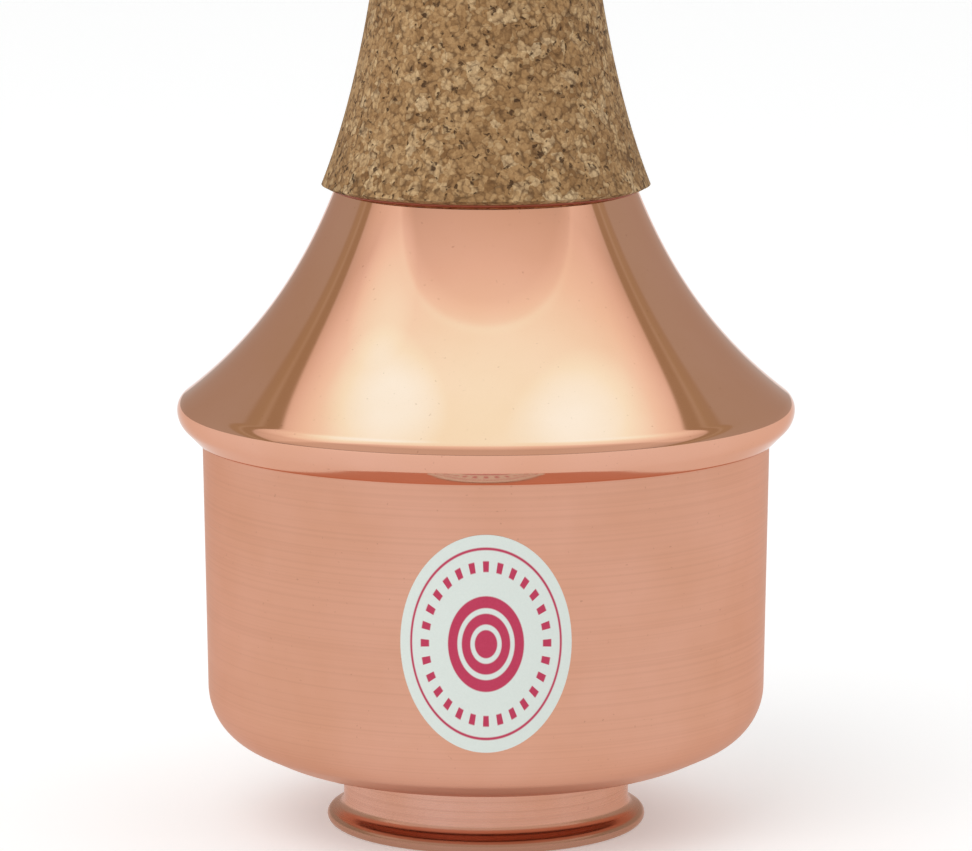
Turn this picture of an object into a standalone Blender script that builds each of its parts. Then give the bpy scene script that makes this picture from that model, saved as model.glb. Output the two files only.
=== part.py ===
"""Wah-wah mute for a trumpet, built standing on the rim of its stem cup.

All sizes are in metres. +Z is the axis of the mute, from the stem cup up to
the corked neck. The origin is on that axis, at the floor under the rim.
"""

import math

import bpy

STEPS = 36
FIT_GAP = 0.0003
SHEET = 0.0006

BEAD_RADIUS = 0.052
BEAD_UPPER_RADIUS = 0.0029
BEAD_LOWER_RADIUS = 0.0042
BEAD_UNDERSIDE_TURN = 45.0
HEM_EDGE_INSET = 0.00345

NECK_ABOVE_BEAD = 0.0855
FLARE_CORE_RADIUS = 0.008
FLARE_POLE_DEPTH = 0.1058
FLARE_LIP_ANGLE = 52.1

CORK_THICKNESS = 0.0020
CORK_LENGTH = 0.0471
CORK_BELOW_NECK_END = 0.0015
CORK_EDGE_ROUND = 0.0004

BEAD_OVERHANG = 0.0042
WALL_TOP_RADIUS = BEAD_RADIUS - BEAD_OVERHANG
WALL_TAPER = 0.0007
WALL_LENGTH = 0.0449
FLANGE_INSET = 0.0017
FLANGE_RADIUS = BEAD_RADIUS - FLANGE_INSET
FLANGE_DROP = 0.0015
FLANGE_FILLET = 0.0008

CORNER_RADIUS = 0.0105
BASE_SLOPE = 26.0
BASE_CONE_LENGTH = 0.0036
BASE_RING_WIDTH = 0.0035
BASE_INNER_SLOPE = 4.0
CUP_CLEARANCE = 0.0016
COLLAR_BEND_RADIUS = 0.0012
COLLAR_HEIGHT = 0.003

FUNNEL_HEADROOM = 0.0040
FUNNEL_NECK_BEND_RADIUS = 0.0022
FUNNEL_RISE_ANGLE = 42.0
FUNNEL_NECK_HEIGHT = 0.003

SLEEVE_WALL = 0.0008
SLEEVE_LENGTH = 0.020

TUBE_RADIUS = 0.008
TUBE_WALL = 0.0006
TUBE_BELOW_HUB = 0.0020
TUBE_ABOVE_BEAD = 0.008

CUP_HEIGHT = 0.0247
CUP_SHOWN = 0.01073
CUP_RADIUS = 0.0242
CUP_SHOULDER_RADIUS = 0.0117
RIM_RADIUS = 0.027
RIM_ROLL_RADIUS = 0.0012
RIM_SLOPE = 22.0
RIM_FILLET = 0.0016
RIM_FLAT = 0.0006
RIM_CURL_TURN = 75.0


class ProfilePath:
    """A profile drawn as a moving point with a heading.

    The heading is in degrees in the XZ plane: 0 runs outward and -90 runs
    down. The left of the path is the seen side of the sheet.
    """

    def __init__(self, radius, height, heading):
        self.points = [(radius, height)]
        self.heading = heading

    def forward(self, distance):
        radius, height = self.points[-1]
        angle = math.radians(self.heading)
        radius += distance * math.cos(angle)
        height += distance * math.sin(angle)
        self.points.append((radius, height))

    def line_to_radius(self, target):
        radius = self.points[-1][0]
        self.forward((target - radius) / math.cos(math.radians(self.heading)))

    def arc(self, arc_radius, turn, segments):
        """Turn left by a positive angle or right by a negative one."""
        side = math.copysign(1.0, turn)
        radius, height = self.points[-1]
        start = math.radians(self.heading)
        centre_radius = radius - side * arc_radius * math.sin(start)
        centre_height = height + side * arc_radius * math.cos(start)
        for index in range(1, segments + 1):
            angle = start + math.radians(turn) * index / segments
            point_radius = centre_radius + side * arc_radius * math.sin(angle)
            point_height = centre_height - side * arc_radius * math.cos(angle)
            self.points.append((point_radius, point_height))
        self.heading += turn


def body_cup_path(bead_height):
    """Lower cup: flange inside the bead, wall, rounded corner, base and collar."""
    path = ProfilePath(FLANGE_RADIUS, bead_height - FLANGE_DROP, 180.0)
    path.line_to_radius(WALL_TOP_RADIUS + FLANGE_FILLET)
    path.arc(FLANGE_FILLET, 90.0, 3)
    draft = math.degrees(math.atan2(WALL_TAPER, WALL_LENGTH))
    path.heading -= draft
    path.forward(WALL_LENGTH)
    path.arc(CORNER_RADIUS, -(90.0 - draft - BASE_SLOPE), 6)
    path.forward(BASE_CONE_LENGTH)
    inner_slope = math.sin(math.radians(BASE_INNER_SLOPE))
    ring_inner_radius = CUP_RADIUS + CUP_CLEARANCE + COLLAR_BEND_RADIUS * (1.0 + inner_slope)
    arc_width = path.points[-1][0] - ring_inner_radius - BASE_RING_WIDTH
    arc_radius = arc_width / (math.sin(math.radians(BASE_SLOPE)) - inner_slope)
    path.arc(arc_radius, BASE_INNER_SLOPE - BASE_SLOPE, 3)
    path.line_to_radius(ring_inner_radius)
    path.arc(COLLAR_BEND_RADIUS, -(90.0 + BASE_INNER_SLOPE), 3)
    path.forward(COLLAR_HEIGHT)
    return path


# The bead stands on the lower cup, whose base leaves part of the stem cup in view
BODY_DEPTH = -min(height for radius, height in body_cup_path(0.0).points)
BEAD_HEIGHT = CUP_SHOWN + BODY_DEPTH


def flare_end():
    """Radius and height above the bead where the flare meets the bead."""
    fall = math.radians(90.0 - FLARE_LIP_ANGLE)
    radius = BEAD_RADIUS - BEAD_UPPER_RADIUS * (1.0 - math.sin(fall))
    height = BEAD_UPPER_RADIUS * math.cos(fall)
    return radius, height


def flare_radius(height):
    """Outer radius of the spun cone at a height above the bead."""
    end_radius, end_height = flare_end()
    slope = math.tan(math.radians(FLARE_LIP_ANGLE))
    swell = end_radius - FLARE_CORE_RADIUS
    power = slope * (end_height + FLARE_POLE_DEPTH) / swell
    ratio = (end_height + FLARE_POLE_DEPTH) / (height + FLARE_POLE_DEPTH)
    return FLARE_CORE_RADIUS + swell * ratio ** power


def flare_points(top, bottom, count, offset):
    """Points down the flare between two heights above the bead.

    A positive offset moves them out, square to the surface.
    """
    points = []
    for index in range(count + 1):
        share = index / count
        height = top + (bottom - top) * (1.0 - (1.0 - share) ** 1.5)
        step = 0.00001
        slope = (flare_radius(height + step) - flare_radius(height - step)) / (2.0 * step)
        length = math.hypot(1.0, slope)
        radius = flare_radius(height) + offset / length
        points.append((radius, BEAD_HEIGHT + height - offset * slope / length))
    return points


def neck_shell_points():
    end_height = flare_end()[1]
    points = flare_points(NECK_ABOVE_BEAD, end_height, 12, 0.0)
    path = ProfilePath(points[-1][0], points[-1][1], FLARE_LIP_ANGLE - 90.0)
    path.arc(BEAD_UPPER_RADIUS, -FLARE_LIP_ANGLE, 3)
    path.arc(BEAD_LOWER_RADIUS, -BEAD_UNDERSIDE_TURN, 3)
    path.line_to_radius(BEAD_RADIUS - HEM_EDGE_INSET)
    return points[:-1] + path.points


def cork_points():
    top = NECK_ABOVE_BEAD - CORK_BELOW_NECK_END
    offset = CORK_THICKNESS + FIT_GAP
    return flare_points(top, top - CORK_LENGTH, 9, offset)


def collar_foot():
    """Opening radius and height where the base's upright collar begins."""
    radius, height = body_cup_path(BEAD_HEIGHT).points[-1]
    return radius, height - COLLAR_HEIGHT


def sleeve_foot():
    """Height of the guide sleeve's lower end, where the stem cup stops."""
    return CUP_HEIGHT + FIT_GAP


def sleeve_radii():
    inner = TUBE_RADIUS + FIT_GAP
    return inner, inner + SLEEVE_WALL


def funnel_points():
    """The recess for the stem cup: it follows the cup's shoulder, then runs up to the sleeve."""
    opening_radius, foot_height = collar_foot()
    rim_radius = opening_radius - FIT_GAP - SHEET
    dome_radius = CUP_SHOULDER_RADIUS + rim_radius - CUP_RADIUS
    neck_radius = sleeve_radii()[1] + FIT_GAP
    lean = 90.0 - FUNNEL_RISE_ANGLE
    bend = FUNNEL_NECK_BEND_RADIUS * (1.0 - math.cos(math.radians(lean)))
    path = ProfilePath(rim_radius, foot_height, 90.0)
    path.forward(CUP_HEIGHT - CUP_SHOULDER_RADIUS + FUNNEL_HEADROOM - foot_height)
    path.arc(dome_radius, lean, 4)
    path.line_to_radius(neck_radius + bend)
    path.arc(FUNNEL_NECK_BEND_RADIUS, -lean, 2)
    path.forward(FUNNEL_NECK_HEIGHT)
    return path.points


def sleeve_points():
    inner, outer = sleeve_radii()
    foot = sleeve_foot()
    top = foot + SLEEVE_LENGTH
    return [(outer, top), (outer, foot), (inner, foot), (inner, top)]


def tube_points():
    inner = TUBE_RADIUS - TUBE_WALL
    foot = CUP_HEIGHT - TUBE_BELOW_HUB
    top = BEAD_HEIGHT + TUBE_ABOVE_BEAD
    return [(TUBE_RADIUS, top), (TUBE_RADIUS, foot), (inner, foot), (inner, top)]


def stem_cup_points():
    path = ProfilePath(TUBE_RADIUS + FIT_GAP, CUP_HEIGHT, 0.0)
    path.line_to_radius(CUP_RADIUS - CUP_SHOULDER_RADIUS)
    path.arc(CUP_SHOULDER_RADIUS, -90.0, 6)
    slope = math.radians(RIM_SLOPE)
    roll_start_radius = RIM_RADIUS - RIM_ROLL_RADIUS * (1.0 - math.sin(slope))
    roll_start_height = RIM_ROLL_RADIUS * (1.0 + math.cos(slope))
    fillet_radius = CUP_RADIUS + RIM_FILLET * (1.0 - math.sin(slope))
    fillet_height = roll_start_height + (roll_start_radius - fillet_radius) * math.tan(slope)
    wall_foot = fillet_height + RIM_FILLET * math.cos(slope)
    path.forward(path.points[-1][1] - wall_foot)
    path.arc(RIM_FILLET, 90.0 - RIM_SLOPE, 4)
    path.line_to_radius(roll_start_radius)
    path.arc(RIM_ROLL_RADIUS, RIM_SLOPE - 90.0, 3)
    path.arc(RIM_ROLL_RADIUS, -90.0, 3)
    path.forward(RIM_FLAT)
    path.arc(RIM_ROLL_RADIUS, -RIM_CURL_TURN, 3)
    return path.points


def make_material(name, colour, roughness, metallic):
    material = bpy.data.materials.new(name)
    material.use_nodes = True
    shader = material.node_tree.nodes["Principled BSDF"]
    shader.inputs["Base Color"].default_value = colour + (1.0,)
    shader.inputs["Roughness"].default_value = roughness
    shader.inputs["Metallic"].default_value = metallic
    return material


def make_turned(name, points, closed, material, collection, height=0.0):
    """Turn a profile about the axis. The points run down the outer side."""
    count = len(points)
    edges = [(index, index + 1) for index in range(count - 1)]
    if closed:
        edges.append((count - 1, 0))
    vertices = [(radius, 0.0, level - height) for radius, level in points]
    mesh = bpy.data.meshes.new(name)
    mesh.from_pydata(vertices, edges, [])
    part = bpy.data.objects.new(name, mesh)
    part.location = (0.0, 0.0, height)
    collection.objects.link(part)
    mesh.materials.append(material)
    screw = part.modifiers.new("Turn", "SCREW")
    screw.axis = "Z"
    screw.steps = STEPS
    screw.render_steps = STEPS
    screw.use_merge_vertices = True
    screw.merge_threshold = 0.00001
    screw.use_smooth_shade = True
    return part


def add_thickness(part, thickness):
    solid = part.modifiers.new("Sheet", "SOLIDIFY")
    solid.thickness = thickness
    solid.offset = -1.0
    solid.use_even_offset = True


def add_edge_round(part, width):
    bevel = part.modifiers.new("Edge", "BEVEL")
    bevel.width = width
    bevel.segments = 1
    bevel.limit_method = "ANGLE"
    bevel.angle_limit = math.radians(50.0)


def clear_scene():
    for existing in list(bpy.data.objects):
        bpy.data.objects.remove(existing, do_unlink=True)


def build():
    clear_scene()
    collection = bpy.data.collections.new("wah_wah_mute")
    bpy.context.scene.collection.children.link(collection)

    polished = make_material("polished_copper", (0.78, 0.42, 0.29), 0.12, 1.0)
    satin = make_material("satin_copper", (0.70, 0.37, 0.25), 0.34, 1.0)
    dull = make_material("plain_copper", (0.60, 0.31, 0.20), 0.45, 1.0)
    cork = make_material("agglomerated_cork", (0.44, 0.26, 0.12), 0.85, 0.0)

    # Upper shell: neck, flare and the bead curled over the lower cup's flange
    neck = make_turned("neck_shell", neck_shell_points(), False, polished, collection)
    add_thickness(neck, SHEET)

    # Cork glued round the neck, following the flare
    sleeve_of_cork = make_turned("cork_sleeve", cork_points(), False, cork, collection)
    add_thickness(sleeve_of_cork, CORK_THICKNESS)
    add_edge_round(sleeve_of_cork, CORK_EDGE_ROUND)

    # Lower cup: flange inside the bead, wall, rounded corner, base and collar
    cup = make_turned("body_cup", body_cup_path(BEAD_HEIGHT).points, False, satin, collection)
    add_thickness(cup, SHEET)

    # Hollow in the base: a funnel up to the sleeve that guides the stem
    funnel = make_turned("base_funnel", funnel_points(), False, dull, collection)
    add_thickness(funnel, SHEET)
    make_turned("guide_sleeve", sleeve_points(), True, dull, collection)

    # Sliding stem: an open tube and the small cup that closes round its foot
    slide = bpy.data.objects.new("stem_slide_axis", None)
    slide.location = (0.0, 0.0, CUP_HEIGHT)
    collection.objects.link(slide)
    tube = make_turned("stem_tube", tube_points(), True, satin, collection, CUP_HEIGHT)
    stem_cup = make_turned("stem_cup", stem_cup_points(), False, satin, collection, CUP_HEIGHT)
    add_thickness(stem_cup, SHEET)
    for moving in (tube, stem_cup):
        moving.parent = slide
        moving.location = (0.0, 0.0, 0.0)


build()
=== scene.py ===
"""Looks of the wah-wah mute: spun copper, agglomerated cork and a plain printed label."""

import math

import bpy
import numpy as np
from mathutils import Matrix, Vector


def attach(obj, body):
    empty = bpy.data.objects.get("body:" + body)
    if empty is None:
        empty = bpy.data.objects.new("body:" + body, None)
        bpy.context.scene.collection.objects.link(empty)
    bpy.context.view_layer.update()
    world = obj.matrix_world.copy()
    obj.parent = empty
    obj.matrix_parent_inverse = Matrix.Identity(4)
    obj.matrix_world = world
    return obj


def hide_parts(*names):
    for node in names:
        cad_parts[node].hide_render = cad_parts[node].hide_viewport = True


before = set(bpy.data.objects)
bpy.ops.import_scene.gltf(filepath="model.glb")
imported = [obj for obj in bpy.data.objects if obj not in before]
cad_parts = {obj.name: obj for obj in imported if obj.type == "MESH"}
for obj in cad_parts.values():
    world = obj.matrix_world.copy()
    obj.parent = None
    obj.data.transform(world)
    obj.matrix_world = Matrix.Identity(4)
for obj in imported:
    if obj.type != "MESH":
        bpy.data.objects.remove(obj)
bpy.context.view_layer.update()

SEGMENTS = 192
SHEET = 0.0006
BEAD_HEIGHT = 0.071
BEAD_RADIUS = 0.052
LIP_ANGLE = 52.1
FLARE_CORE = 0.008
FLARE_POLE = 0.1058
BEAD_UPPER = 0.0029
BEAD_LOWER = 0.0042
HEM_EDGE_RADIUS = 0.04855
NECK_TOP = 0.0855
WALL_TOP_RADIUS = 0.0478
WALL_BOTTOM_RADIUS = 0.0471
WALL_LENGTH = 0.0449
CUP_HEIGHT = 0.0247
CUP_RADIUS = 0.0242
RIM_RADIUS = 0.027
ROLL_RADIUS = 0.0012
RIM_SLOPE = 22.0
RIM_FILLET = 0.0016
RIM_FLAT = 0.0006
RIM_CURL_TURN = 75.0
CUP_SHOULDER = 0.0117
CUP_HOLE_RADIUS = 0.0083
STEM_RADIUS = 0.008
STEM_BORE = 0.0074
STEM_SEAT = 0.002
STEM_ABOVE_BEAD = 0.008
SLEEVE_RADIUS = 0.0091
SLEEVE_BORE = 0.0083
SLEEVE_GAP = 0.0003
SLEEVE_LENGTH = 0.020
FLANGE_RADIUS = 0.0503
FLANGE_DROP = 0.0015
FLANGE_BEND = 0.0008
CORNER_RADIUS = 0.0105
BASE_CONE_SLOPE = 26.0
BASE_CONE_LENGTH = 0.0036
BASE_INNER_SLOPE = 4.0
BASE_RING_WIDTH = 0.0035
CUP_CLEARANCE = 0.0016
COLLAR_BEND = 0.0012
COLLAR_LENGTH = 0.003
FUNNEL_FIT = 0.0009
FUNNEL_HEADROOM = 0.0040
FUNNEL_SLOPE = 48.0
FUNNEL_NECK_RADIUS = 0.0094
FUNNEL_NECK_BEND = 0.0022
FUNNEL_NECK_LENGTH = 0.003
HEM_TURN = 45.0
CORK_LENGTH = 0.0471
CORK_TOP = NECK_TOP - 0.0015
CORK_OUTSET = 0.0023
CORK_THICKNESS = 0.0021
CORK_EDGE_ROUND = 0.22
GLUE_BEAD = 0.0002
LABEL_HALF_WIDTH = 0.0140
LABEL_HALF_HEIGHT = 0.0179
LABEL_HEIGHT = 0.0398
LABEL_FRONT = 0.00010
LABEL_BACK = 0.00002
LABEL_WALL_RADIUS = 0.0476
LABEL_RAYS = 28.0
SHARP_OVER = 50.0

# The camera: its focal length in pixels of the 972 pixel wide photograph, and its place
IMAGE_WIDTH = 972
FOCAL_PIXELS = 5337.3
SENSOR_WIDTH = 36.0
CAMERA_BEFORE = 0.88867
CAMERA_ABOVE_BEAD = 0.13913
LOOK_DOWN = 9.1

# The floor: what lamps see, what metal sees, and the glow that each kind of ray gets
FLOOR_HALF = 8.0
FLOOR_TONE = 0.95
FLOOR_TONE_IN_METAL = 0.30
FLOOR_GLOW = 0.22
FLOOR_GLOW_IN_METAL = 0.70

# Soft lamps that only metal sees: direction and gain
STUDIO_LAMPS = (
    ((-0.42, 0.02, 0.907), 0.40),
    ((0.35, 0.08, 0.933), 0.32),
    ((-0.70, -0.17, 0.69), 0.30),
)
STUDIO_LEVEL = 8.0


# Shapes


class ProfilePath:
    """A profile drawn as a moving point; its left is the seen side."""

    def __init__(self, radius, height, heading):
        self.points = [(radius, height)]
        self.heading = heading

    def forward(self, distance, pieces=1):
        radius, height = self.points[-1]
        angle = math.radians(self.heading)
        for index in range(1, pieces + 1):
            share = distance * index / pieces
            self.points.append((
                radius + share * math.cos(angle),
                height + share * math.sin(angle),
            ))

    def line_to_radius(self, target, pieces=1):
        radius = self.points[-1][0]
        self.forward((target - radius) / math.cos(math.radians(self.heading)), pieces)

    def arc(self, arc_radius, turn, segments):
        side = math.copysign(1.0, turn)
        radius, height = self.points[-1]
        start = math.radians(self.heading)
        centre_r = radius - side * arc_radius * math.sin(start)
        centre_z = height + side * arc_radius * math.cos(start)
        for index in range(1, segments + 1):
            angle = start + math.radians(turn) * index / segments
            self.points.append((
                centre_r + side * arc_radius * math.sin(angle),
                centre_z - side * arc_radius * math.cos(angle),
            ))
        self.heading += turn


def flare_end():
    fall = math.radians(90.0 - LIP_ANGLE)
    return BEAD_RADIUS - BEAD_UPPER * (1.0 - math.sin(fall)), BEAD_UPPER * math.cos(fall)


def flare_radius(height):
    end_radius, end_height = flare_end()
    swell = end_radius - FLARE_CORE
    power = math.tan(math.radians(LIP_ANGLE)) * (end_height + FLARE_POLE) / swell
    return FLARE_CORE + swell * ((end_height + FLARE_POLE) / (height + FLARE_POLE)) ** power


def flare_points(top, bottom, count, offset=0.0):
    points = []
    for index in range(count + 1):
        share = index / count
        height = top + (bottom - top) * (1.0 - (1.0 - share) ** 1.5)
        slope = (flare_radius(height + 1e-5) - flare_radius(height - 1e-5)) / 2e-5
        length = math.hypot(1.0, slope)
        points.append((
            flare_radius(height) + offset / length,
            BEAD_HEIGHT + height - offset * slope / length,
        ))
    return points


def sheet_loop(points, thickness, edge_round=0.25):
    """A closed profile: the seen side, a rounded edge, the back and a rounded edge."""
    line = np.array(points, float)
    ahead = np.gradient(line, axis=0)
    ahead /= np.linalg.norm(ahead, axis=1)[:, None]
    right = np.stack([ahead[:, 1], -ahead[:, 0]], axis=1)
    back = line + right * thickness
    trim = ahead * thickness * edge_round
    loop = list(line[1:-1])
    for at, along, across in ((-1, 1.0, 1.0), (0, -1.0, -1.0)):
        middle = (line[at] + back[at]) / 2
        normal = right[at] * thickness / 2 * across
        reach = trim[at] * along
        for angle in np.linspace(0, math.pi, 7):
            loop.append(middle - normal * math.cos(angle) + reach * (math.sin(angle) - 1.0))
        if at == -1:
            loop.extend(back[-2:0:-1])
    return [tuple(point) for point in loop]


def smooth_piece(name, vertices, faces, material):
    """Links a smooth mesh that keeps its sharp edges."""
    mesh = bpy.data.meshes.new(name)
    mesh.from_pydata(vertices, [], faces)
    mesh.validate()
    mesh.shade_smooth()
    mesh.set_sharp_from_angle(angle=math.radians(SHARP_OVER))
    piece = bpy.data.objects.new(name, mesh)
    bpy.context.scene.collection.objects.link(piece)
    mesh.materials.append(material)
    return piece


def lathe(name, loop, material, body, replaced=None):
    """Turns a closed profile about the axis into one smooth closed mesh."""
    count = len(loop)
    angles = np.linspace(0, 2 * math.pi, SEGMENTS, endpoint=False)
    profile = np.array(loop, float)
    cos, sin = np.cos(angles)[:, None], np.sin(angles)[:, None]
    turned = np.stack([
        cos * profile[:, 0],
        sin * profile[:, 0],
        np.ones_like(cos) * profile[:, 1],
    ], axis=2)
    faces = []
    for turn in range(SEGMENTS):
        following = (turn + 1) % SEGMENTS
        for index in range(count):
            after = (index + 1) % count
            faces.append((
                turn * count + index, turn * count + after,
                following * count + after, following * count + index,
            ))
    piece = smooth_piece(name, turned.reshape(-1, 3).tolist(), faces, material)
    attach(piece, body)
    if replaced:
        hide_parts(replaced)


# Materials


def colour(hex_code):
    """A hex sRGB colour as linear RGBA."""
    values = [int(hex_code[i:i + 2], 16) / 255 for i in (1, 3, 5)]
    linear = [v / 12.92 if v <= 0.04045 else ((v + 0.055) / 1.055) ** 2.4 for v in values]
    return (*linear, 1.0)


def node(tree, kind, links=None, **settings):
    """Adds a node; links maps an input to a value or to another node's output."""
    made = tree.nodes.new(kind)
    for key, value in settings.items():
        setattr(made, key, value)
    for key, value in (links or {}).items():
        if isinstance(value, bpy.types.NodeSocket):
            tree.links.new(value, made.inputs[key])
        else:
            made.inputs[key].default_value = value
    return made


def calc(tree, operation, first, second=0.0, third=0.0):
    links = {0: first, 1: second, 2: third}
    return node(tree, "ShaderNodeMath", links, operation=operation).outputs[0]


def calc_all(tree, operation, *values):
    """The same operation over a row of values, from left to right."""
    total = values[0]
    for value in values[1:]:
        total = calc(tree, operation, total, value)
    return total


def noise(tree, at, scale, detail):
    """A noise texture's factor, from 0 to 1."""
    links = {"Vector": at, "Scale": scale, "Detail": detail}
    return node(tree, "ShaderNodeTexNoise", links).outputs[0]


def bump(tree, height, distance, under=None):
    """The normal of a height in metres, on top of another bump where one is given."""
    links = {"Height": height, "Distance": distance, "Strength": 1.0}
    if under is not None:
        links["Normal"] = under
    return node(tree, "ShaderNodeBump", links).outputs[0]


def spread_out(tree, value, start, end, top=1.0):
    """0 at the start of a range of values, rising to top at its end."""
    links = {0: value, 1: start, 2: end, 3: 0.0, 4: top}
    return node(tree, "ShaderNodeMapRange", links).outputs[0]


def seen_straight(tree, path):
    """1 for what the camera sees, also through glass."""
    straight = [path.outputs[kind] for kind in ("Is Camera Ray", "Is Transmission Ray")]
    return calc(tree, "MAXIMUM", *straight)


def ramp(tree, factor, stops):
    made = node(tree, "ShaderNodeValToRGB", {0: factor})
    elements = made.color_ramp.elements
    elements[0].position, elements[0].color = stops[0]
    elements[1].position, elements[1].color = stops[-1]
    for place, value in stops[1:-1]:
        elements.new(place).color = value
    return made.outputs[0]


def grey(value):
    return (value, value, value, 1.0)


def mix(tree, factor, first, second):
    links = {0: factor, 6: first, 7: second}
    return node(tree, "ShaderNodeMix", links, data_type="RGBA").outputs[2]


def new_material(name):
    material = bpy.data.materials.new(name)
    material.use_nodes = True
    tree = material.node_tree
    return material, tree, tree.nodes["Principled BSDF"]


def round_coordinates(tree):
    """Place, direction round the axis (two numbers, with no seam), height and radius."""
    place = node(tree, "ShaderNodeTexCoord").outputs["Object"]
    split = node(tree, "ShaderNodeSeparateXYZ", {0: place})
    across_x, across_y, height = split.outputs
    squares = [calc(tree, "MULTIPLY", value, value) for value in (across_x, across_y)]
    radius = calc(tree, "SQRT", calc(tree, "ADD", *squares))
    turn = [calc(tree, "DIVIDE", value, radius) for value in (across_x, across_y)]
    return place, turn, height, radius


def turned_noise(tree, turn, along, sweep, pitch, detail):
    """Noise drawn out round the axis: sweep is how soon it changes round, pitch along."""
    at = node(tree, "ShaderNodeCombineXYZ", {
        0: calc(tree, "MULTIPLY", turn[0], sweep),
        1: calc(tree, "MULTIPLY", turn[1], sweep),
        2: calc(tree, "MULTIPLY", along, pitch),
    }).outputs[0]
    return noise(tree, at, 1.0, detail)


def spun_copper(name, tint, warm, roughness, spread, line_depth, ripple_depth, band_tone,
                browner_below=0.0):
    """Spun copper: fine turning lines, the roller's slow ripples, faint tarnish, specks."""
    material, tree, shader = new_material(name)
    place, turn, height, radius = round_coordinates(tree)
    along = calc(tree, "ADD", height, radius)
    lines = turned_noise(tree, turn, along, 0.5, 4200.0, 3.0)
    ripples = turned_noise(tree, turn, along, 1.2, 160.0, 1.0)
    bands = turned_noise(tree, turn, along, 0.15, 1900.0, 2.0)
    clouds = noise(tree, place, 45.0, 4.0)
    specks = noise(tree, place, 1500.0, 1.0)
    tarnish = ramp(tree, clouds, [(0.35, grey(0.0)), (0.75, grey(1.0))])
    base = mix(tree, tarnish, tint, warm)
    speck_mask = ramp(tree, specks, [(0.74, grey(0.0)), (0.80, grey(0.25))])
    base = mix(tree, speck_mask, base, colour("#8E5A44"))
    band_mask = ramp(tree, bands, [(0.36, grey(band_tone)), (0.52, grey(0.0))])
    base = mix(tree, band_mask, base, colour("#8A5B47"))
    if browner_below:
        # The rim is browner in its lowest few millimetres, towards the floor
        low_browning = spread_out(tree, height, browner_below, browner_below * 0.6, 0.75)
        base = mix(tree, low_browning, base, colour("#A87A64"))
    tree.links.new(base, shader.inputs["Base Color"])
    shader.inputs["Metallic"].default_value = 1.0
    shader.inputs["Specular Tint"].default_value = colour("#F0DACF")
    rough = calc(tree, "MULTIPLY_ADD", lines, spread, roughness - spread / 2)
    rough = calc(tree, "MULTIPLY_ADD", tarnish, 0.03, rough)
    tree.links.new(rough, shader.inputs["Roughness"])
    fine = bump(tree, lines, line_depth)
    tree.links.new(bump(tree, ripples, ripple_depth, fine), shader.inputs["Normal"])
    return material


def agglomerated_cork():
    """Sanded agglomerated cork: packed rounded granules of 1 to 2 mm, and dark pits."""
    material, tree, shader = new_material("agglomerated cork")
    place = node(tree, "ShaderNodeTexCoord").outputs["Object"]
    warp = node(tree, "ShaderNodeTexNoise", {"Vector": place, "Scale": 500.0, "Detail": 3.0})
    bent = warp.outputs[1]
    for operation, links in (
        ("SUBTRACT", {1: (0.5, 0.5, 0.5)}), ("SCALE", {3: 0.0020}), ("ADD", {1: place}),
    ):
        links = {0: bent, **links}
        bent = node(tree, "ShaderNodeVectorMath", links, operation=operation).outputs[0]
    grains, crumbs = (
        node(tree, "ShaderNodeTexVoronoi", {"Vector": bent, "Scale": scale, "Randomness": 1.0})
        for scale in (500.0, 1150.0)
    )
    tone = node(tree, "ShaderNodeSeparateColor", {0: grains.outputs["Color"]}).outputs[0]
    crumb_tone = node(tree, "ShaderNodeSeparateColor", {0: crumbs.outputs["Color"]}).outputs[1]
    grain_colour = ramp(tree, tone, [
        (0.0, colour("#7E5A36")), (0.15, colour("#98744C")), (0.45, colour("#A98358")),
        (0.75, colour("#B99468")), (0.9, colour("#CBA97C")), (1.0, colour("#DDC198")),
    ])
    crumb_colour = ramp(tree, crumb_tone, [
        (0.0, colour("#6E4C2C")), (0.2, colour("#9A744A")), (0.75, colour("#B58F62")),
        (1.0, colour("#D6B88C")),
    ])
    base = mix(tree, 0.45, grain_colour, crumb_colour)
    fine = noise(tree, place, 1900.0, 4.0)
    dust = ramp(tree, fine, [(0.36, grey(0.35)), (0.58, grey(0.0))])
    base = mix(tree, dust, base, colour("#6E4E2F"))
    crevice = ramp(tree, crumbs.outputs["Distance"], [(0.50, grey(0.0)), (0.85, grey(0.7))])
    base = mix(tree, crevice, base, colour("#5C3F25"))
    pit_mask = ramp(tree, noise(tree, bent, 850.0, 2.0), [(0.63, grey(0.0)), (0.69, grey(0.9))])
    base = mix(tree, pit_mask, base, colour("#4A321E"))
    tree.links.new(base, shader.inputs["Base Color"])
    shader.inputs["Roughness"].default_value = 0.85
    shader.inputs["Specular IOR Level"].default_value = 0.25
    lump, crumb_lump = (
        calc(tree, "MULTIPLY", cells.outputs["Distance"], cells.outputs["Distance"])
        for cells in (grains, crumbs)
    )
    relief = calc(tree, "MULTIPLY_ADD", lump, -0.8, calc(tree, "MULTIPLY", crumb_lump, -0.7))
    relief = calc(tree, "MULTIPLY_ADD", pit_mask, -0.8, relief)
    relief = calc(tree, "MULTIPLY_ADD", fine, 0.5, relief)
    tree.links.new(bump(tree, relief, 0.00032), shader.inputs["Normal"])
    return material


def plain(name, tint, roughness, metallic=0.0, mottle=0.15, scale=400.0, dark="#3A1A10"):
    """A simple material whose tone and roughness still vary a little."""
    material, tree, shader = new_material(name)
    place = node(tree, "ShaderNodeTexCoord").outputs["Object"]
    clouds = noise(tree, place, scale, 4.0)
    mask = ramp(tree, clouds, [(0.35, grey(0.0)), (0.75, grey(mottle))])
    tree.links.new(mix(tree, mask, colour(tint), colour(dark)), shader.inputs["Base Color"])
    rough = calc(tree, "MULTIPLY_ADD", clouds, 0.2, roughness - 0.1)
    tree.links.new(rough, shader.inputs["Roughness"])
    shader.inputs["Metallic"].default_value = metallic
    return material


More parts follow.
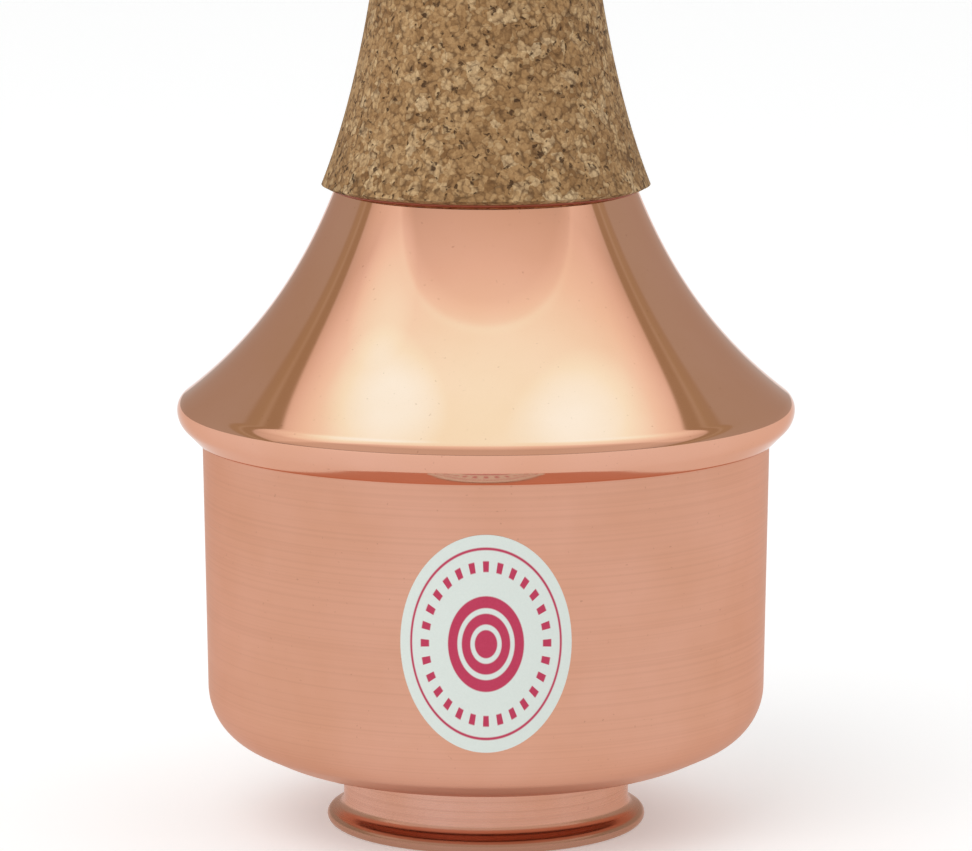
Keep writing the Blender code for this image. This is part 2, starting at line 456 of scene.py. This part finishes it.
def label_paper():
    """Coated paper, pale and slightly green, printed in crimson rings and rays."""
    material, tree, shader = new_material("printed label paper")
    place, turn, height, _ = round_coordinates(tree)
    # Both ways over the oval, as a share of its half width and half height
    beside = calc(tree, "MULTIPLY", calc(tree, "ARCSINE", turn[0]), LABEL_WALL_RADIUS)
    beside = calc(tree, "DIVIDE", calc(tree, "ABSOLUTE", beside), LABEL_HALF_WIDTH)
    rise = calc(tree, "DIVIDE", calc(tree, "SUBTRACT", height, LABEL_HEIGHT), LABEL_HALF_HEIGHT)
    squares = [calc(tree, "POWER", value, 2.0) for value in (beside, rise)]
    oval = calc(tree, "SQRT", calc(tree, "ADD", *squares))

    def band(low, high, soft=0.006):
        """1 between two shares of the oval, with a soft edge."""
        above, below = calc(tree, "SUBTRACT", oval, low), calc(tree, "SUBTRACT", high, oval)
        return spread_out(tree, calc(tree, "MINIMUM", above, below), -soft, soft)

    swing = calc(tree, "ARCTAN2", rise, beside)
    rays = calc(tree, "COSINE", calc(tree, "MULTIPLY", swing, LABEL_RAYS))
    dashes = calc(tree, "MULTIPLY", band(0.66, 0.76), spread_out(tree, rays, 0.15, 0.35))
    gaps = calc(tree, "MAXIMUM", band(0.28, 0.33), band(0.13, 0.18))
    disc = calc(tree, "MULTIPLY", band(-1.0, 0.44), calc(tree, "SUBTRACT", 1.0, gaps))
    print_mask = calc_all(tree, "MAXIMUM", band(0.86, 0.885), dashes, disc)
    fibre = noise(tree, place, 3000.0, 3.0)
    paper = mix(tree, fibre, colour("#D6DFD9"), colour("#DFE7E1"))
    ink = mix(tree, fibre, colour("#B5224A"), colour("#C23058"))
    tree.links.new(mix(tree, print_mask, paper, ink), shader.inputs["Base Color"])
    shader.inputs["Roughness"].default_value = 0.42
    tree.links.new(bump(tree, fibre, 0.00001), shader.inputs["Normal"])
    return material


polished = spun_copper(
    "polished spun copper", colour("#E3AC94"), colour("#DFA68A"), roughness=0.05, spread=0.02,
    line_depth=3e-7, ripple_depth=1.2e-5, band_tone=0.0,
)
satin = spun_copper(
    "satin spun copper", colour("#E0A890"), colour("#DAA084"), roughness=0.34, spread=0.12,
    line_depth=3e-6, ripple_depth=4e-6, band_tone=0.07,
)
stem_copper = spun_copper(
    "stem spun copper", colour("#D8A592"), colour("#CF9478"), roughness=0.26, spread=0.10,
    line_depth=2e-6, ripple_depth=6e-6, band_tone=0.12, browner_below=0.0026,
)
inner_copper = spun_copper(
    "dull inner copper", colour("#B57C62"), colour("#9C644A"), roughness=0.46, spread=0.15,
    line_depth=3e-6, ripple_depth=1e-5, band_tone=0.1,
)
cork = agglomerated_cork()
glue = plain("red cork glue", "#A04A2C", 0.5)
solder = plain("soft solder", "#A79C92", 0.35, metallic=1.0, mottle=0.4, scale=900.0,
               dark="#6E645C")


# Pieces


def neck_shell_line():
    end_height = flare_end()[1]
    points = flare_points(NECK_TOP, end_height, 64)
    path = ProfilePath(points[-1][0], points[-1][1], LIP_ANGLE - 90.0)
    path.arc(BEAD_UPPER, -LIP_ANGLE, 16)
    path.arc(BEAD_LOWER, -HEM_TURN, 12)
    path.line_to_radius(HEM_EDGE_RADIUS, 6)
    return points[:-1] + path.points


def body_cup_line():
    path = ProfilePath(FLANGE_RADIUS, BEAD_HEIGHT - FLANGE_DROP, 180.0)
    path.line_to_radius(WALL_TOP_RADIUS + FLANGE_BEND, 3)
    path.arc(FLANGE_BEND, 90.0, 8)
    draft = math.degrees(math.atan2(WALL_TOP_RADIUS - WALL_BOTTOM_RADIUS, WALL_LENGTH))
    path.heading -= draft
    path.forward(WALL_LENGTH, 24)
    path.arc(CORNER_RADIUS, -(90.0 - draft - BASE_CONE_SLOPE), 24)
    path.forward(BASE_CONE_LENGTH, 4)
    cone_slope, inner_slope = (
        math.sin(math.radians(slope)) for slope in (BASE_CONE_SLOPE, BASE_INNER_SLOPE)
    )
    ring_inner = CUP_RADIUS + CUP_CLEARANCE + COLLAR_BEND * (1.0 + inner_slope)
    arc_width = path.points[-1][0] - ring_inner - BASE_RING_WIDTH
    path.arc(arc_width / (cone_slope - inner_slope), BASE_INNER_SLOPE - BASE_CONE_SLOPE, 14)
    path.line_to_radius(ring_inner, 5)
    path.arc(COLLAR_BEND, -(90.0 + BASE_INNER_SLOPE), 12)
    path.forward(COLLAR_LENGTH, 3)
    return path.points


def funnel_line(opening_radius, foot_height):
    """The recess follows the stem cup's wall and shoulder, up to the guide sleeve."""
    rim = opening_radius - FUNNEL_FIT
    path = ProfilePath(rim, foot_height, 90.0)
    path.forward(CUP_HEIGHT - CUP_SHOULDER + FUNNEL_HEADROOM - foot_height, 4)
    path.arc(CUP_SHOULDER + rim - CUP_RADIUS, FUNNEL_SLOPE, 16)
    bend = FUNNEL_NECK_BEND * (1.0 - math.cos(math.radians(FUNNEL_SLOPE)))
    path.line_to_radius(FUNNEL_NECK_RADIUS + bend, 20)
    path.arc(FUNNEL_NECK_BEND, -FUNNEL_SLOPE, 8)
    path.forward(FUNNEL_NECK_LENGTH, 3)
    return path.points


def stem_cup_line():
    path = ProfilePath(CUP_HOLE_RADIUS, CUP_HEIGHT, 0.0)
    path.line_to_radius(CUP_RADIUS - CUP_SHOULDER, 4)
    path.arc(CUP_SHOULDER, -90.0, 24)
    slope = math.radians(RIM_SLOPE)
    roll_start = RIM_RADIUS - ROLL_RADIUS * (1.0 - math.sin(slope))
    roll_height = ROLL_RADIUS * (1.0 + math.cos(slope))
    fillet = CUP_RADIUS + RIM_FILLET * (1.0 - math.sin(slope))
    rise = (roll_start - fillet) * math.tan(slope)
    wall_foot = roll_height + rise + RIM_FILLET * math.cos(slope)
    path.forward(path.points[-1][1] - wall_foot, 10)
    path.arc(RIM_FILLET, 90.0 - RIM_SLOPE, 12)
    path.line_to_radius(roll_start, 5)
    path.arc(ROLL_RADIUS, RIM_SLOPE - 90.0, 10)
    path.arc(ROLL_RADIUS, -90.0, 12)
    path.forward(RIM_FLAT, 2)
    path.arc(ROLL_RADIUS, -RIM_CURL_TURN, 10)
    return path.points


def ring_loop(radius, height, thick_r, thick_z, count=16):
    return [
        (radius + thick_r * math.cos(a), height - thick_z * math.sin(a))
        for a in np.linspace(0, 2 * math.pi, count, endpoint=False)
    ]


def tube_loop(outer, inner, low, high, soft=0.00012):
    middle = (high + low) / 2
    return [
        (outer - soft, high), (outer, high - soft), (outer, middle), (outer, low + soft),
        (outer - soft, low), (inner + soft, low), (inner, low + soft), (inner, middle),
        (inner, high - soft), (inner + soft, high),
    ]


lathe("neck_shell_skin", sheet_loop(neck_shell_line(), SHEET), polished,
      "mute_body", "neck_shell")

cup_line = body_cup_line()
opening, foot = cup_line[-1][0], cup_line[-1][1] - COLLAR_LENGTH
lathe("body_cup_skin", sheet_loop(cup_line, SHEET), satin,
      "mute_body", "body_cup")
lathe("base_funnel_skin", sheet_loop(funnel_line(opening, foot), SHEET), inner_copper,
      "mute_body", "base_funnel")
sleeve_foot = CUP_HEIGHT + SLEEVE_GAP
lathe("guide_sleeve_skin",
      tube_loop(SLEEVE_RADIUS, SLEEVE_BORE, sleeve_foot, sleeve_foot + SLEEVE_LENGTH),
      inner_copper, "mute_body", "guide_sleeve")

cork_foot = CORK_TOP - CORK_LENGTH
cork_outer = flare_points(CORK_TOP, cork_foot, 60, CORK_OUTSET)
lathe("cork_sleeve_skin", sheet_loop(cork_outer, CORK_THICKNESS, CORK_EDGE_ROUND), cork,
      "mute_body", "cork_sleeve")
seam = flare_points(cork_foot + GLUE_BEAD / 2, cork_foot, 1, GLUE_BEAD)[0]
lathe("cork_glue_line", ring_loop(*seam, GLUE_BEAD, GLUE_BEAD), glue,
      "mute_body")

lathe("stem_tube_skin",
      tube_loop(STEM_RADIUS, STEM_BORE, CUP_HEIGHT - STEM_SEAT, BEAD_HEIGHT + STEM_ABOVE_BEAD),
      stem_copper, "stem", "stem_tube")
lathe("stem_cup_skin", sheet_loop(stem_cup_line(), SHEET), stem_copper,
      "stem", "stem_cup")
lathe("stem_solder_ring", ring_loop(STEM_RADIUS + 0.0002, CUP_HEIGHT - 0.0007, 0.0006, 0.0005),
      solder, "stem")
lathe("collar_solder_ring", ring_loop(opening - 0.00015, foot + 0.0024, 0.0003, 0.0005), solder,
      "mute_body")


def wall_radius(height):
    """Outer radius of the lower cup's wall at a height above the floor."""
    top = BEAD_HEIGHT - FLANGE_DROP - FLANGE_BEND
    taper = (WALL_TOP_RADIUS - WALL_BOTTOM_RADIUS) / WALL_LENGTH
    return WALL_TOP_RADIUS - taper * (top - height)


def make_label():
    """An oval of paper wrapped on the front of the wall."""
    rings, spokes = 20, 128
    vertices = []
    for side in (LABEL_FRONT, LABEL_BACK):
        for ring in range(rings + 1):
            for spoke in range(spokes):
                share = ring / rings
                turn = 2 * math.pi * spoke / spokes
                along = LABEL_HALF_WIDTH * share * math.cos(turn)
                height = LABEL_HEIGHT + LABEL_HALF_HEIGHT * share * math.sin(turn)
                radius = wall_radius(height) + side
                angle = along / radius
                vertices.append((radius * math.sin(angle), -radius * math.cos(angle), height))
    faces = []
    layer = (rings + 1) * spokes
    for spoke in range(spokes):
        after = (spoke + 1) % spokes
        for ring in range(rings):
            a, b = ring * spokes + spoke, ring * spokes + after
            c, d = (ring + 1) * spokes + after, (ring + 1) * spokes + spoke
            faces.append((a, d, c, b))
            faces.append((a + layer, b + layer, c + layer, d + layer))
        edge, edge_after = rings * spokes + spoke, rings * spokes + after
        faces.append((edge, edge + layer, edge_after + layer, edge_after))
    label = smooth_piece("front_label", vertices, faces, label_paper())
    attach(label, "mute_body")


make_label()


# Stage, light and camera


def make_floor():
    mesh = bpy.data.meshes.new("floor")
    corners = [
        (x * FLOOR_HALF, y * FLOOR_HALF, 0) for x, y in ((-1, -1), (1, -1), (1, 1), (-1, 1))
    ]
    mesh.from_pydata(corners, [], [(0, 1, 2, 3)])
    floor = bpy.data.objects.new("floor", mesh)
    bpy.context.scene.collection.objects.link(floor)
    material, tree, shader = new_material("white studio floor")
    shader.inputs["Roughness"].default_value = 0.9
    shader.inputs["Specular IOR Level"].default_value = 0.1
    path = node(tree, "ShaderNodeLightPath")
    seen = seen_straight(tree, path)
    glossy = path.outputs["Is Glossy Ray"]
    tone = mix(tree, glossy, grey(FLOOR_TONE), grey(FLOOR_TONE_IN_METAL))
    tree.links.new(tone, shader.inputs["Base Color"])
    glow = calc(tree, "MULTIPLY", seen, FLOOR_GLOW)
    glow = calc(tree, "MULTIPLY_ADD", glossy, FLOOR_GLOW_IN_METAL, glow)
    tree.links.new(glow, shader.inputs["Emission Strength"])
    shader.inputs["Emission Color"].default_value = grey(1.0)
    mesh.materials.append(material)


def make_world():
    """A white surround; shiny metal sees a studio whose front and sides differ."""
    world = bpy.data.worlds.new("studio")
    bpy.context.scene.world = world
    world.use_nodes = True
    tree = world.node_tree
    background = tree.nodes["Background"]
    direction = node(tree, "ShaderNodeTexCoord").outputs["Generated"]
    split = node(tree, "ShaderNodeSeparateXYZ", {0: direction})
    across, back, up = split.outputs[0], split.outputs[1], split.outputs[2]
    # How far back a direction points; the lit part's back edge bends forward low down and
    # on the right
    low = calc(tree, "SUBTRACT", 1.0, up)
    lean = calc(tree, "MULTIPLY_ADD", calc(tree, "MAXIMUM", across, 0.0), 0.3, 0.8)
    depth = calc(tree, "MULTIPLY", calc(tree, "MULTIPLY_ADD", low, lean, back), 0.5)
    front = calc(tree, "MULTIPLY_ADD", calc(tree, "MULTIPLY_ADD", low, -0.45, back), 0.5, 0.5)
    # Brighter overhead, with soft lamps; a darker patch in front, where the camera stands
    level = ramp(tree, up, [
        (0.0, grey(0.25)), (0.02, grey(0.22)), (0.05, grey(0.42)), (0.42, grey(0.42)),
        (0.52, grey(0.40)), (0.70, grey(0.53)), (0.80, grey(0.62)), (0.90, grey(0.69)),
        (1.0, grey(0.75)),
    ])
    patch = ramp(tree, front, [
        (0.0, grey(0.43)), (0.18, grey(0.45)), (0.235, grey(0.52)), (0.25, grey(0.61)),
        (0.27, grey(0.58)), (1.0, grey(0.59)),
    ])
    fade = ramp(tree, depth, [
        (0.15, grey(0.50)), (0.225, grey(0.46)), (0.275, grey(0.415)), (0.325, grey(0.36)),
    ])
    level = calc_all(tree, "MULTIPLY", level, patch, fade, STUDIO_LEVEL)
    for lamp_at, gain in STUDIO_LAMPS:
        links = {0: direction, 1: lamp_at}
        near = node(tree, "ShaderNodeVectorMath", links, operation="DOT_PRODUCT").outputs["Value"]
        level = calc(tree, "ADD", level, spread_out(tree, near, 0.955, 1.0, gain))
    lit = ramp(tree, calc(tree, "MULTIPLY", level, 0.5), [
        (0.0, grey(0.0)), (0.40, (0.83, 0.79, 0.72, 1.0)), (0.50, (1.0, 1.0, 0.95, 1.0)),
        (0.625, (1.14, 1.25, 1.18, 1.0)), (0.75, (1.19, 1.50, 1.43, 1.0)),
        (0.875, (1.23, 1.75, 1.70, 1.0)), (1.0, (1.27, 2.00, 2.25, 1.0)),
    ])
    # Dim wings behind the mute: a brown stripe, a thin lighter line and a plain grey
    wing = ramp(tree, depth, [
        (0.0, (0.43, 0.38, 0.26, 1.0)), (0.378, (0.43, 0.38, 0.26, 1.0)),
        (0.396, (0.53, 0.51, 0.40, 1.0)), (0.412, (0.46, 0.42, 0.29, 1.0)),
        (0.450, (0.45, 0.41, 0.30, 1.0)), (0.470, (0.51, 0.51, 0.45, 1.0)),
        (0.80, (0.52, 0.53, 0.50, 1.0)), (1.0, (0.60, 0.64, 0.64, 1.0)),
    ])
    edge = ramp(tree, depth, [(0.322, grey(0.0)), (0.334, grey(1.0))])
    studio = mix(tree, edge, lit, wing)
    path = node(tree, "ShaderNodeLightPath")
    side = calc(tree, "MULTIPLY_ADD", calc(tree, "ABSOLUTE", across), 0.45, 0.58)
    soft = node(tree, "ShaderNodeCombineColor", {0: side, 1: side, 2: side}).outputs[0]
    seen = seen_straight(tree, path)
    tint = mix(tree, seen, mix(tree, path.outputs["Is Glossy Ray"], soft, studio), grey(1.0))
    tree.links.new(tint, background.inputs["Color"])
    background.inputs["Strength"].default_value = 1.0


def make_lamp(name, place, target, size, power):
    data = bpy.data.lights.new(name, "AREA")
    data.shape = "SQUARE"
    data.size = size
    data.energy = power
    lamp = bpy.data.objects.new(name, data)
    lamp.location = place
    lamp.rotation_euler = (Vector(target) - Vector(place)).to_track_quat("-Z", "Y").to_euler()
    lamp.visible_glossy = False
    bpy.context.scene.collection.objects.link(lamp)


def make_camera():
    """The camera stands 0.9 m away and looks down on the mute."""
    data = bpy.data.cameras.new("camera")
    data.sensor_width = SENSOR_WIDTH
    data.lens = FOCAL_PIXELS / IMAGE_WIDTH * SENSOR_WIDTH
    data.clip_start = 0.01
    camera = bpy.data.objects.new("camera", data)
    camera.location = (0.0, -CAMERA_BEFORE, BEAD_HEIGHT + CAMERA_ABOVE_BEAD)
    camera.rotation_euler = (math.radians(90.0 - LOOK_DOWN), 0.0, 0.0)
    bpy.context.scene.collection.objects.link(camera)
    bpy.context.scene.camera = camera


make_floor()
make_world()
make_lamp("key", place=(-0.7, -1.2, 1.3), target=(0, 0, 0.08), size=1.4, power=9.5)
make_camera()
bpy.context.scene.view_settings.view_transform = "Standard"
